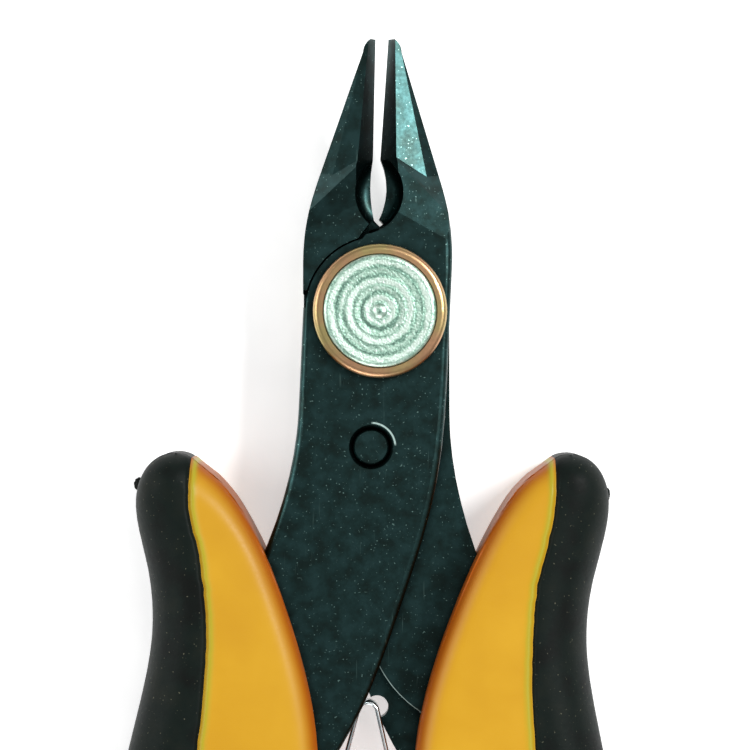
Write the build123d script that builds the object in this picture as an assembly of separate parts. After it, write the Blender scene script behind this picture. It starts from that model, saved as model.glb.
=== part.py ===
from build123d import *
import math
import os

# Flush cutting pliers for fine wire: two lapped steel halves on a spun rivet, two-tone moulded grips.
# Millimetres. The origin is on the pivot axis at the rivet's flat rear face.
# +Y points to the jaw tips and +Z out of the front. Each half is drawn with the jaws closed,
# as u (distance from the blades' centreline towards its own jaw) and y, then turned to rest.

# Overall sizes
jaw_reach = 20.4
overall_length = 137.7
back_length = overall_length - jaw_reach
drawn_back_length = 117.3     # the outlines behind the pivot are drawn for this length
head_radius = 4.21
ring_wall = 0.755
ring_radius = head_radius + ring_wall
disc_margin = 0.535           # from the rim of the cup rings to the rim of the lap disc
disc_radius = ring_radius + disc_margin
body_margin = 0.05            # trimmed from the disc at the body's sides
body_half_width = disc_radius - body_margin
centreline_offset = 0.25      # the blades' centreline lies this far to the left of the pivot
plate_thickness = 3.0
lap_clearance = 0.05          # between the two plates
running_gap = 0.04            # between the turning plate and the front ring
press_fit = 0.01              # radial, on every pressed or bonded round piece

# Travel, as angles of one half against the other
rest_opening = 2.66
full_opening = 14.66

# Lap joint
shoulder_clearance = 0.14
web_foot = (1.3, 5.28)        # the lap's free edge runs from the throat to here, past the centreline
web_overlap = 0.35
web_clearance = 0.12
bore_clearance = 0.02

# Jaws
tip_half_width = 0.42
tip_corner = (0.78, jaw_reach - 0.35)
flank_start = (1.0, jaw_reach - 1.0)
flank_taper = 2.0
flank_end = (body_half_width - flank_taper, 12.4)
cheek_end_y = 3.5
edge_gap = 0.01               # half the gap left between the closed edges
cut_x_at_tip = -0.05          # the cutting line leans a little across the centreline
cut_x_at_throat = -0.25
throat_head_y = 11.4
throat_foot_y = 6.8
throat_foot_x = -0.18
throat_mid_x = -0.07
throat_half_width = 0.39
edge_depth = 0.3              # the cutting edges lie this far below the lap plane
bevel_slope = 0.53            # width over depth of the ground bevels
bevel_limit = 1.52            # the bevels stop at this distance from the centreline
facet_height_tip = 0.8        # height of a ground face over the lap plane, at the centreline
facet_height_base = 2.26
facet_fall = 0.3              # fall over width of the ground faces
shoulder_line = ((1.14, 11.39), (3.4, 10.1))
shoulder_lean = 0.35          # the shoulder's wall leans back this far over shoulder_wall of height
shoulder_wall = 0.3
slope_line = ((1.4, 7.66), (4.3, 6.2))
slope_foot = (1.14, 11.39, 2.1)
crest_step = (0.13, 0.27)     # a softer band of half the slope starts this far before the slope
flank_line = ((1.15, 18.7), (2.72, 12.4))
flank_fall = 0.8
edge_round = 0.5
scoop_radius = 3.2
scoop_round = 1.1
scoop_centre = (-1.6, 8.8)


def stretched(*points):
    """Outline points behind the pivot, stretched from the drawn length to the real one."""
    return [(u, y * back_length / drawn_back_length) for u, y in points]


# Handles of the steel halves: outer and inner edges, as distances from the centreline
root_y = -5.0
handle_outer = stretched(
    (5.57, -10), (6.46, -14.9), (7.4, -17.9), (10.2, -25), (12.6, -34), (14.0, -43),
    (16.2, -60), (15.7, -80))
handle_inner = stretched(
    (-4.84, -13.7), (-2.83, -21.7), (0, -30.1), (6.4, -41.5), (11.4, -60), (11.3, -80))
handle_end = stretched((11.2, -102))[0]
handle_end_half_width = 2.2

# Spring relief in the lap faces at the crotch
relief_depth = 1.4
relief_arc = stretched((0.25, -25.6), (-1.42, -28.41), (-3.14, -29.92))
relief_end = stretched((-7.0, -37.8))[0]
relief_inner_u = 4.0
notch_place = stretched((0.44, -29.7))[0]  # at rest
notch_radius = 0.85

# Pivot
shank_radius = 2.5
bush_wall = 0.6
head_stand_out = 0.15
head_edge = 0.35
ring_height = 1.05
ring_floor = 0.35
ring_recess_clearance = 0.04
ring_round = 0.42
spun_rings = 5
spun_groove_depth = 0.03
nib_radius = 0.55
nib_height = 0.22

# Stop pin
stop_pin_radius = 1.32
stop_pin_place = (-0.2, -10.1)
stop_pin_rim = 0.33
stop_pin_rim_depth = 0.5
stop_pin_sink = 0.12
stop_slot_depth = 1.8
stop_pin_end_gap = 0.2
stop_slot_side_clearance = 0.12
stop_slot_spare_angle = 1.0   # closing side only, so that the jaws meet first

# Grips: outer edge, parting line between the colours and inner edge
grip_half_height = 5.5
grip_spans = 12               # pieces that the smooth outline is cut into
tang_wall = 1.2               # the core wraps the tang with this wall under the soft cover
tongue_half_height = 4.0
grip_round = 1.4
grip_end = (11.0, -back_length)
grip_outer = stretched(
    (12.9, -11.1), (14.3, -10.6), (15.7, -11.0), (17.0, -12.8), (17.2, -15.2), (16.1, -20.0), (15.6, -24.5),
    (16.4, -30.5), (18.6, -42), (20.4, -60), (19.6, -82), (17.4, -103),
    (15.9, -113))
grip_parting = stretched(
    (13.3, -8.0), (13.2, -11.0), (13.1, -14.9), (12.2, -18.6), (11.4, -26), (11.6, -31.5), (13.4, -44),
    (15.0, -60), (14.6, -82), (12.8, -103), (11.0, -119))
grip_inner = stretched(
    (11.4, -12.2), (8.53, -16.1), (5.36, -23.2), (3.25, -30.3), (2.8, -36.5), (5.0, -46), (8.7, -60),
    (9.3, -80), (7.4, -103), (7.2, -113))
tang_clearance = 0.1
gate_radius = 0.45
gate_place = stretched((17.8, -13.3))[0]
gate_length = 1.2

# Return spring: a hairpin leaf that bears on both handles
spring_thickness = 0.3
spring_bend_radius = 0.72
spring_bend, spring_knee, spring_foot = stretched((0, -29.9), (3.5, -41.0), (6.0, -43.4))
spring_side_gap = 0.15
spring_slot_clearance = 0.2
spring_slot_run = 2.6

# Levels along Z, from the rear face of the rivet
rear_ring_z = head_stand_out
lower_plate_z = rear_ring_z + ring_height
lap_z = lower_plate_z + plate_thickness + lap_clearance / 2
upper_plate_z = lap_z + lap_clearance / 2
front_face_z = upper_plate_z + plate_thickness
front_ring_z = front_face_z + running_gap
front_head_z = front_ring_z + ring_floor
head_top_z = front_ring_z + ring_height + head_stand_out
half_stack = plate_thickness + lap_clearance / 2
shoulder_radius = disc_radius + shoulder_clearance
body_reach = body_half_width + centreline_offset
swing_top_y = body_reach * math.sin(math.radians(full_opening)) + shoulder_clearance
bush_radius = shank_radius + bore_clearance + bush_wall
reach_all = 300               # longer than the tool, for cutters that pass right through

UPPER = 1
LOWER = -1


def spot(side, point):
    """A point of one half: u runs from the centreline towards that half's jaw."""
    return (side * point[0] - centreline_offset, point[1])


def spots(side, points):
    return [spot(side, point) for point in points]


def mirrored(points, grow=0.0):
    """Edge points given as distances on the handle's side, moved by grow towards the jaw's side."""
    return [(grow - distance, y) for distance, y in points]


def plan(edges):
    """A face from its closed outline, always looking up."""
    face = Face(Wire(edges))
    return -face if face.normal_at().Z < 0 else face


def slab(face, low, high):
    """A face drawn at z = 0 as a slab between two levels."""
    return extrude(Pos(0, 0, low) * face, amount=high - low, dir=(0, 0, 1))


def own_slab(side, face, low, high):
    """A slab between two heights over the lap plane, counted towards that half's own face."""
    levels = sorted((lap_z + side * low, lap_z + side * high))
    return slab(face, *levels)


def beyond(side, rise, first, second, third):
    """All space above (rise = 1) or below (rise = -1) a plane through three points (u, y, height)."""
    corners = [Vector(*spot(side, point[:2]), lap_z + point[2]) for point in (first, second, third)]
    along = corners[1] - corners[0]
    normal = along.cross(corners[2] - corners[0])
    if normal.Z * rise < 0:
        normal = -normal
    cutter = Box(reach_all, reach_all, reach_all, align=(Align.CENTER, Align.CENTER, Align.MIN))
    return Plane(origin=corners[0], x_dir=along, z_dir=normal) * cutter


def cutting_u(side, y):
    """The closed cutting line, seen from one half."""
    share = (jaw_reach - y) / (jaw_reach - throat_head_y)
    return side * (cut_x_at_tip + share * (cut_x_at_throat - cut_x_at_tip)) + edge_gap


def jaw_face(side):
    """The jaw in plan, from the tip down to the level of the pivot."""
    foot_u = side * throat_foot_x
    tip = spot(side, (cutting_u(side, jaw_reach), jaw_reach))
    head = spot(side, (cutting_u(side, throat_head_y), throat_head_y))
    middle = spot(side, (side * throat_mid_x + throat_half_width, (throat_head_y + throat_foot_y) / 2))
    foot = spot(side, (foot_u, throat_foot_y))
    cheek_end = spot(side, (body_half_width, cheek_end_y))
    flank = (side * (flank_end[0] - flank_start[0]), flank_end[1] - flank_start[1])
    return plan([
        Line(tip, spot(side, (tip_half_width, jaw_reach))),
        ThreePointArc(*spots(side, ((tip_half_width, jaw_reach), tip_corner, flank_start))),
        Line(spot(side, flank_start), spot(side, flank_end)),
        Spline(spot(side, flank_end), cheek_end, tangents=(flank, (0, -1))),
        Line(cheek_end, spot(side, (body_half_width, 0))),
        Line(spot(side, (body_half_width, 0)), spot(side, (foot_u, 0))),
        Line(spot(side, (foot_u, 0)), foot),
        ThreePointArc(foot, middle, head),
        Line(head, tip),
    ])


def handle_face(side, grow=0.0):
    """The handle in plan, from the pivot to its end inside the grip, grown all round by grow."""
    width = body_half_width + grow
    end_half = handle_end_half_width + grow
    root = spot(side, (width, root_y))
    far_root = spot(side, (-width, root_y))
    inner_end = spot(side, (end_half - handle_end[0], handle_end[1]))
    outer_end = spot(side, (-end_half - handle_end[0], handle_end[1]))
    inner = spots(side, mirrored(handle_inner, grow))
    outer = spots(side, mirrored(handle_outer, -grow))
    end_top = spot(side, (-handle_end[0], handle_end[1] - end_half))
    return plan([
        Line(spot(side, (width, 0)), root),
        Spline(root, *inner, inner_end, tangents=((0, -1), (side * 0.25, -1))),
        ThreePointArc(inner_end, end_top, outer_end),
        Spline(outer_end, *reversed(outer), far_root, tangents=((-side * 0.25, 1), (0, 1))),
        Line(far_root, spot(side, (-width, 0))),
        Line(spot(side, (-width, 0)), spot(side, (width, 0))),
    ])


def web_face(side):
    """The strip of the lap that runs up to the throat, with its sloping free edge past the centreline."""
    u = side * throat_foot_x
    corners = ((u, throat_foot_y), (-web_foot[0], web_foot[1]), (-web_foot[0], 0), (u + web_overlap, 0),
               (u + web_overlap, throat_foot_y))
    return plan(Polyline(*spots(side, corners), close=True).edges())


def web_room(side):
    """The other half's strip, moved by the clearance square to its free edge."""
    rise = throat_foot_y - web_foot[1]
    run = web_foot[0] - side * throat_foot_x
    step = Vector(side * rise, run).normalized() * web_clearance
    return Pos(step.X, step.Y) * web_face(-side)


def relief_face(side):
    """The area around the spring's bend where both lap faces are sunk."""
    start, middle, stop = spots(side, relief_arc)
    corners = (relief_arc[2], relief_end, (relief_inner_u, relief_end[1]), (relief_inner_u, relief_arc[0][1]),
               relief_arc[0])
    run = Polyline(*spots(side, corners))
    return plan([ThreePointArc(start, middle, stop), *run.edges()])


def facet_height(u, y):
    """Height of a jaw's ground face over the lap plane."""
    share = (jaw_reach - y) / (jaw_reach - throat_head_y)
    return facet_height_tip + share * (facet_height_base - facet_height_tip) - facet_fall * u


def on_facet(rise, point, drop=0.0):
    return (*point, rise * (facet_height(*point) - drop))


def cut_jaw_faces(side, half):
    """Slopes, shoulders, tapered faces and ground bevels, alike on the front and the rear of the jaw."""
    for rise in (1, -1):
        shoulder_start, shoulder_stop = [on_facet(rise, point) for point in shoulder_line]
        start_u, start_y, start_z = shoulder_start
        lean_back = (start_u, start_y - shoulder_lean, start_z + rise * shoulder_wall)
        ahead = beyond(side, rise, shoulder_start, shoulder_stop, lean_back)
        slope_start, slope_stop = [(*point, rise * half_stack) for point in slope_line]
        slope_low = (*slope_foot[:2], rise * slope_foot[2])
        half -= beyond(side, rise, slope_start, slope_stop, slope_low) - ahead
        crest_start, crest_stop = [
            (u - crest_step[0], y - crest_step[1], rise * half_stack) for u, y in slope_line]
        crest_low = (*slope_foot[:2], rise * (half_stack + slope_foot[2]) / 2)
        half -= beyond(side, rise, crest_start, crest_stop, crest_low) - ahead
        half -= ahead & beyond(side, rise, on_facet(rise, (0, jaw_reach)), on_facet(rise, (0, throat_head_y)),
                               on_facet(rise, shoulder_line[1]))
        flank_top, flank_foot = [on_facet(rise, point) for point in flank_line]
        flank_low = (flank_foot[0] + 1, flank_foot[1], flank_foot[2] - rise * flank_fall)
        half -= beyond(side, rise, flank_top, flank_foot, flank_low) & ahead
    for rise, end_y in ((1, scoop_centre[1]), (-1, throat_head_y)):
        edge_tip = (cutting_u(side, jaw_reach), jaw_reach, -edge_depth)
        edge_base = (cutting_u(side, throat_head_y), throat_head_y, -edge_depth)
        ground = (edge_tip[0] + bevel_slope, jaw_reach, rise - edge_depth)
        corner = spot(side, (bevel_limit, end_y))
        inwards = Align.MAX if side == UPPER else Align.MIN
        room = Box(reach_all, jaw_reach, reach_all, align=(inwards, Align.MIN, Align.CENTER))
        room = Pos(*corner, lap_z) * room
        half -= beyond(side, rise, edge_tip, edge_base, ground) & room
    return half


def throat_scoop(side):
    """The round-bottomed pocket that opens the throat towards the front."""
    height = half_stack + edge_depth
    pocket = Cylinder(scoop_radius, height, align=(Align.CENTER, Align.CENTER, Align.MIN))
    pocket = fillet(pocket.faces().sort_by(Axis.Z)[0].edges(), scoop_round)
    x, y = spot(side, scoop_centre)
    return Pos(x, y, lap_z - edge_depth) * pocket


def plate_half(side):
    """One steel half, closed: jaw, lap disc and handle."""
    body_strip = Pos(-centreline_offset, 0) * Rectangle(2 * body_half_width, reach_all)
    disc = plan([Edge.make_circle(disc_radius)]) & body_strip
    below_swing = Pos(0, swing_top_y - reach_all / 2) * Rectangle(reach_all, reach_all)
    swing = plan([Edge.make_circle(body_reach + shoulder_clearance)]) & below_swing
    shoulder = plan([Edge.make_circle(shoulder_radius)]) + swing
    jaw = jaw_face(side)
    own = jaw + disc + handle_face(side) + web_face(side)
    plate = own_slab(side, own, lap_clearance / 2, half_stack)
    own_level = lap_z + side * half_stack
    long_edges = [
        edge for edge in plate.edges()
        if abs(edge.center().Z - own_level) < 0.01 and not touches_lap_round(side, edge)
        and edge.geom_type != GeomType.CIRCLE and edge.length > body_half_width / 2
    ]
    plate = fillet(long_edges, edge_round)
    far = jaw - shoulder - web_room(side)
    half = plate + own_slab(side, far, -half_stack, lap_clearance / 2 + edge_round)
    half = cut_jaw_faces(side, half)
    half -= throat_scoop(side)
    half -= own_slab(side, relief_face(side), 0, relief_depth)
    return half


def touches_lap_round(side, edge):
    """True for the edges around the lap disc, the web, the throat and the blade."""
    middle = edge.center(CenterOf.BOUNDING_BOX)
    u = side * (middle.X + centreline_offset)
    return middle.Y > 0 and u < body_half_width / 2


def crotch_notch():
    """A round notch in the lower half's inner edge, beside the spring's bend."""
    return Pos(*notch_place) * Cylinder(notch_radius, reach_all)


def ring(low, floor_up):
    """A cup ring around one head of the rivet, with its floor at the plates' side."""
    body = Cylinder(ring_radius, ring_height, align=(Align.CENTER, Align.CENTER, Align.MIN))
    open_face = body.faces().sort_by(Axis.Z)[0 if floor_up else -1]
    body = fillet(open_face.edges(), ring_round)
    recess = Cylinder(head_radius + ring_recess_clearance, ring_height - ring_floor,
                      align=(Align.CENTER, Align.CENTER, Align.MIN))
    body -= Pos(0, 0, 0 if floor_up else ring_floor) * recess
    body -= Cylinder(shank_radius + press_fit, reach_all)
    return Pos(0, 0, low) * body


def pivot_rivet():
    """The shank with its flat rear head and its spun front head, turned about the pivot axis."""
    rear_top = rear_ring_z + ring_height - ring_floor
    face_z = head_top_z
    groove_outer = head_radius - head_edge
    pitch = (groove_outer - nib_radius) / spun_rings
    lines = [Polyline(
        (0, 0, 0), (head_radius - head_edge, 0, 0), (head_radius, 0, head_edge), (head_radius, 0, rear_top),
        (shank_radius, 0, rear_top), (shank_radius, 0, front_head_z), (head_radius, 0, front_head_z),
        (head_radius, 0, face_z - head_edge))]
    lines.append(ThreePointArc(
        (head_radius, 0, face_z - head_edge),
        (head_radius - head_edge * (1 - math.sqrt(0.5)), 0, face_z - head_edge * (1 - math.sqrt(0.5))),
        (groove_outer, 0, face_z)))
    for count in range(spun_rings):
        start = groove_outer - count * pitch
        bottom = (start - pitch / 2, 0, face_z - spun_groove_depth)
        lines.append(ThreePointArc((start, 0, face_z), bottom, (start - pitch, 0, face_z)))
    ball = (nib_radius ** 2 + nib_height ** 2) / (2 * nib_height)
    half_way = math.asin(nib_radius / ball) / 2
    nib_z = face_z + nib_height
    lines.append(ThreePointArc(
        (nib_radius, 0, face_z), (ball * math.sin(half_way), 0, nib_z - ball * (1 - math.cos(half_way))),
        (0, 0, nib_z)))
    lines.append(Line((0, 0, nib_z), (0, 0, 0)))
    edges = [edge for line in lines for edge in line.edges()]
    return revolve(Face(Wire(edges)), Axis.Z)


def pivot_bush():
    tube = Cylinder(bush_radius, plate_thickness, align=(Align.CENTER, Align.CENTER, Align.MIN))
    tube -= Cylinder(shank_radius + bore_clearance, reach_all)
    return Pos(0, 0, upper_plate_z) * tube


def stop_pin():
    """Pressed through the upper half, with its lower end in the lower half's slot."""
    bottom = lap_z - lap_clearance / 2 - stop_slot_depth + stop_pin_end_gap
    pin = Cylinder(stop_pin_radius, front_face_z - stop_pin_sink - bottom,
                   align=(Align.CENTER, Align.CENTER, Align.MIN))
    pin = chamfer(pin.faces().sort_by(Axis.Z)[-1].edges(), stop_pin_sink)
    return Pos(*stop_pin_place, bottom) * pin


def stop_slot():
    """The arc slot that the stop pin travels in, drawn in the closed pose of the lower half."""
    radius = math.hypot(*stop_pin_place)
    closed_angle = math.degrees(math.atan2(stop_pin_place[1], stop_pin_place[0]))
    path = CenterArc((0, 0), radius, closed_angle - full_opening, full_opening + stop_slot_spare_angle)
    slot = SlotArc(path, 2 * (stop_pin_radius + stop_slot_side_clearance))
    top = lap_z - lap_clearance / 2
    return slab(slot, top - stop_slot_depth, top + lap_clearance / 2)


def pin_seat():
    """The pressed hole of the stop pin with the open rim around it."""
    hole = Cylinder(stop_pin_radius + press_fit, reach_all)
    rim = Cone(stop_pin_radius + press_fit, stop_pin_radius + stop_pin_rim, stop_pin_rim_depth,
               align=(Align.CENTER, Align.CENTER, Align.MAX))
    return Pos(*stop_pin_place, 0) * hole + Pos(*stop_pin_place, front_face_z) * rim


def grip_face(side):
    """The whole grip in plan, as one smooth closed curve."""
    points = [*grip_outer, grip_end, *reversed(grip_inner)]
    loop = Spline(*spots(side, mirrored(points)), periodic=True).edge()
    steps = [count / grip_spans for count in range(grip_spans + 1)]
    return plan([loop.trim(start, stop) for start, stop in zip(steps, steps[1:])])


def core_side(side):
    """The area on the core's side of the parting line."""
    line = spots(side, mirrored(grip_parting))
    corners = [line[-1], spot(side, (reach_all, line[-1][1])), spot(side, (reach_all, line[0][1])), line[0]]
    return plan([Spline(*line), *Polyline(*corners).edges()])


def grip(side):
    """The hard core and the soft cover of one grip."""
    face = grip_face(side)
    low, high = lap_z - grip_half_height, lap_z + grip_half_height
    whole = slab(face, low, high)
    rims = whole.faces().sort_by(Axis.Z)[0].edges() + whole.faces().sort_by(Axis.Z)[-1].edges()
    whole = fillet(rims, grip_round)
    wrapped = handle_face(side, tang_wall)
    tongue = whole & slab(wrapped, lap_z - tongue_half_height, lap_z + tongue_half_height)
    core = (whole & slab(core_side(side), low, high)) + tongue
    cover = whole - core
    gate_x, gate_y = spot(side, (-gate_place[0], gate_place[1]))
    gate = Cylinder(gate_radius, gate_length, align=(Align.CENTER, Align.CENTER, Align.MAX))
    cover += Pos(gate_x, gate_y, lap_z) * Rot(0, -side * 90, 0) * gate
    pocket = own_slab(side, handle_face(side, tang_clearance), lap_clearance / 2 - tang_clearance,
                      half_stack + tang_clearance)
    return core - pocket, cover


def spring_path():
    """The hairpin's middle line at rest."""
    knee_run = (spring_knee[0] - spring_bend_radius, spring_bend[1] - spring_knee[1])
    half_angle = math.atan2(*knee_run)
    apex_y = spring_bend[1] + spring_bend_radius / math.sin(half_angle)
    points = [(-spring_foot[0], spring_foot[1]), (-spring_knee[0], spring_knee[1]), (0, apex_y), spring_knee,
              spring_foot]
    return FilletPolyline(*spots(UPPER, points), radius=spring_bend_radius)


def return_spring():
    path = spring_path()
    width = 2 * (relief_depth - spring_side_gap)
    start = Plane(origin=path @ 0, z_dir=path % 0, x_dir=(0, 0, 1))
    strip = sweep(start * Rectangle(width, spring_thickness), path=path)
    return Pos(0, 0, lap_z) * strip


def spring_slot(side):
    """The slot in a core where one foot of the spring sits, at rest."""
    foot = Vector(*spot(-side, spring_foot))
    knee = Vector(*spot(-side, spring_knee))
    run = (foot - knee).normalized()
    width = 2 * (relief_depth - spring_side_gap + spring_slot_clearance)
    middle = foot + run * (spring_slot_clearance - spring_slot_run / 2)
    angle = math.degrees(math.atan2(run.Y, run.X))
    slot = Box(spring_slot_run, spring_thickness + 2 * spring_slot_clearance, width)
    return Pos(middle.X, middle.Y, lap_z) * Rot(0, 0, angle) * slot


def to_rest(side, piece):
    return Rot(0, 0, -side * rest_opening / 2) * piece


def save(name, shape):
    solids = shape.solids()
    kept = solids[0] if len(solids) == 1 else Compound(children=list(solids))
    kept.label = name
    export_step(kept, f"parts/{name}.step")


os.makedirs("parts", exist_ok=True)

upper_half = plate_half(UPPER) - Cylinder(bush_radius + press_fit, reach_all) - pin_seat()
lower_half = plate_half(LOWER) - Cylinder(shank_radius + press_fit, reach_all) - stop_slot()
save("upper_half", to_rest(UPPER, upper_half))
save("lower_half", to_rest(LOWER, lower_half) - crotch_notch())
save("pivot_rivet", pivot_rivet())
save("pivot_bush", pivot_bush())
save("front_ring", ring(front_ring_z, floor_up=False))
save("rear_ring", ring(rear_ring_z, floor_up=True))
save("stop_pin", to_rest(UPPER, stop_pin()))
save("return_spring", return_spring())
for side, hand in ((UPPER, "left"), (LOWER, "right")):
    grip_core, grip_cover = grip(side)
    save(f"{hand}_grip_core", to_rest(side, grip_core) - spring_slot(side))
    save(f"{hand}_grip_cover", to_rest(side, grip_cover))
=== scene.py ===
import math

import bmesh
import bpy
import numpy as np
from bpy.props import FloatProperty, IntProperty, PointerProperty, StringProperty
from bpy.types import Operator, Panel, PropertyGroup
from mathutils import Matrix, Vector, noise
from mathutils.bvhtree import BVHTree


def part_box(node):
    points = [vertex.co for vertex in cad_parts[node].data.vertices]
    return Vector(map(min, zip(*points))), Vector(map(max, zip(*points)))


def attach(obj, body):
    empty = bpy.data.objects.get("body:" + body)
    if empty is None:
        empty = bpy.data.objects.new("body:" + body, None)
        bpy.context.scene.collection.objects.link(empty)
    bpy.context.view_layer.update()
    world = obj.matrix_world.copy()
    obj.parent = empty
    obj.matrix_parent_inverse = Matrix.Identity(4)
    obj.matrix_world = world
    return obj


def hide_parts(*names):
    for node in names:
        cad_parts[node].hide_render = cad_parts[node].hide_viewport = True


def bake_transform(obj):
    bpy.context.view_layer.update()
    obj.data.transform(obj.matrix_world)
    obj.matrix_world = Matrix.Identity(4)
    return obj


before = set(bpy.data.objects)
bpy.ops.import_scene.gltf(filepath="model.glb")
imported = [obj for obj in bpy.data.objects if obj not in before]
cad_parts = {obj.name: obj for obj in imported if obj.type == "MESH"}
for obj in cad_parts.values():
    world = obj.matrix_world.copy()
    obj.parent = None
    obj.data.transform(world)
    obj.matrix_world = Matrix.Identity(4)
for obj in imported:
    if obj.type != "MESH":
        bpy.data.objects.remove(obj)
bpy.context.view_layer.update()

bl_info = {
    "name": "Flush Cutting Pliers",
    "version": (1, 0, 0),
    "blender": (4, 5, 0),
    "location": "View3D > Sidebar > Pliers",
    "description": "Finishes a pair of flush cutting pliers around its engineering model",
    "category": "Object",
}

MM = 0.001
# The body that carries each grip, and the way along x from that grip to the pliers' centreline
SIDES = {"left": "upper_side", "right": "lower_side"}
TOWARDS_BODY = {"left": 1, "right": -1}
# The plane where the two halves lap, which is also the middle of the grips
LAP_Z = sum(corner.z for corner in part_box("return_spring")) / 2
GRIP_LOW, GRIP_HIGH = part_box("left_grip_core")
GRIP_HALF_HEIGHT = (GRIP_HIGH.z - GRIP_LOW.z) / 2
# Sockets of a Mix node set to colours: the first and second colour, and the result
FIRST, SECOND, MIXED = 6, 7, 2


# ---------------------------------------------------------------------------------------------
# Settings
# ---------------------------------------------------------------------------------------------

class GripSettings(PropertyGroup):
    """Shapes and colours of the two-shot moulded grips."""

    core_round: FloatProperty(
        name="Core rounding", description="Radius along the inner edge of the hard core",
        default=1.5 * MM, min=0.2 * MM, unit="LENGTH", subtype="DISTANCE")
    cover_round: FloatProperty(
        name="Cover rounding", description="Radius along the outer edge of the soft cover",
        default=3.6 * MM, min=0.2 * MM, unit="LENGTH", subtype="DISTANCE")
    end_round: FloatProperty(
        name="End rounding", description="Radius at the top of the flare and at the handle's end",
        default=2.2 * MM, min=0.2 * MM, unit="LENGTH", subtype="DISTANCE")
    groove_depth: FloatProperty(
        name="Parting groove", description="Depth of the fine groove where the two mouldings meet",
        default=0.22 * MM, min=0.0, unit="LENGTH", subtype="DISTANCE")
    ragged: FloatProperty(
        name="Ragged parting", description="How far the parting line wanders from its curve",
        default=0.07 * MM, min=0.0, unit="LENGTH", subtype="DISTANCE")
    # Width of the painted shade along the core's rounded inner edge.
    edge_shade_width: FloatProperty(
        name="Edge tint", description="Width of the darker tint along the core's inner edge",
        default=0.7 * MM, min=0.1 * MM, unit="LENGTH", subtype="DISTANCE")
    left_sag: FloatProperty(
        name="Left sag", description="How much lower the left grip's top sits than the right one's",
        default=0.55 * MM, unit="LENGTH", subtype="DISTANCE")
    rows: IntProperty(name="Rows", description="Mesh rows along a grip", default=220, min=40)
    columns: IntProperty(name="Columns", description="Mesh columns across one moulding", default=30, min=8)
    yellow: StringProperty(
        name="Core colour", description="sRGB colour of the hard core", default="#C49216")
    edge_shade_colour: StringProperty(
        # Colour of the painted shade on the core's rounded inner edge.
        name="Core edge colour", description="sRGB colour of the core's rounded edge", default="#A85408")
    lip: StringProperty(
        name="Lip colour", description="sRGB colour of the thin lip at the parting", default="#A79C22")
    black: StringProperty(
        name="Cover colour", description="sRGB colour of the soft cover", default="#0D1613")


class SteelSettings(PropertyGroup):
    """Finish of the steel halves."""

    oxide: StringProperty(
        name="Oxide colour", description="sRGB colour of the blackened steel", default="#263B3A")
    worn: StringProperty(
        name="Worn colour", description="sRGB colour of specks and scratches", default="#6F8F8A")
    # Colour of the painted highlight arcs along the pin's rim and the relief's edge.
    arc_highlight: StringProperty(
        name="Bare colour", description="sRGB colour of freshly rubbed steel", default="#D5F2EC")
    edge_bevel: FloatProperty(
        name="Edge bevel", description="Width of the fine bevel on every hard edge",
        default=0.06 * MM, min=0.0, unit="LENGTH", subtype="DISTANCE")
    speck: FloatProperty(
        name="Speck size", description="Size of the light specks on the oxide",
        default=0.16 * MM, min=0.02 * MM, unit="LENGTH", subtype="DISTANCE")


class PivotSettings(PropertyGroup):
    """Finish of the rivet and its rings."""

    zinc: StringProperty(
        name="Zinc colour", description="sRGB colour of the spun head", default="#AACFBC")
    copper: StringProperty(
        name="Ring colour", description="sRGB colour of the cup rings", default="#BD9270")
    brass: StringProperty(
        name="Ring second colour", description="sRGB colour of the rings' yellow patches", default="#B3A36E")
    spun_pitch: FloatProperty(
        name="Spun pitch", description="Distance between two wide rings on the spun head",
        default=1.5 * MM, min=0.1 * MM, unit="LENGTH", subtype="DISTANCE")


class SpringSettings(PropertyGroup):
    """Shape of the hairpin leaf at rest, from the pliers' centreline."""

    thickness: FloatProperty(
        name="Thickness", description="Thickness of the leaf",
        default=0.3 * MM, unit="LENGTH", subtype="DISTANCE")
    bend_radius: FloatProperty(
        name="Bend radius", description="Radius of the bend and of both knees",
        default=0.72 * MM, unit="LENGTH", subtype="DISTANCE")
    knee_reach: FloatProperty(
        name="Knee reach", description="Distance of each knee from the centreline",
        default=3.5 * MM, unit="LENGTH", subtype="DISTANCE")
    knee_drop: FloatProperty(
        name="Knee drop", description="Distance of each knee behind the bend's centre",
        default=11.1 * MM, unit="LENGTH", subtype="DISTANCE")


class StageSettings(PropertyGroup):
    """Camera and light."""

    lens: FloatProperty(
        name="Lens", description="Focal length in millimetres", default=180.0, min=20.0, unit="CAMERA")
    view_width: FloatProperty(
        name="View width", description="Width of the view at the front faces",
        default=55.56 * MM, unit="LENGTH", subtype="DISTANCE")
    roll: FloatProperty(
        name="Camera roll", description="Turn of the camera about its line of sight",
        default=math.radians(1.27), unit="ROTATION", subtype="ANGLE")
    key: FloatProperty(
        name="Key light", description="Power of the softbox high on the right", default=8.0, unit="POWER")
    edge: FloatProperty(
        name="Edge light", description="Power of the small lamp overhead", default=0.3, unit="POWER")
    fill: FloatProperty(
        name="Fill light", description="Power of each wide fill light", default=3.5, unit="POWER")
    sky: FloatProperty(name="Sky", description="Strength of the even studio surround", default=0.4)
    glow: FloatProperty(name="Table glow", description="Strength of the light table", default=0.5)


# ---------------------------------------------------------------------------------------------
# Small helpers
# ---------------------------------------------------------------------------------------------

def linear(text):
    """An sRGB hex colour as linear RGBA."""
    channels = [int(text[place:place + 2], 16) / 255 for place in (1, 3, 5)]
    return (*[c / 12.92 if c <= 0.04045 else ((c + 0.055) / 1.055) ** 2.4 for c in channels], 1.0)


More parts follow.
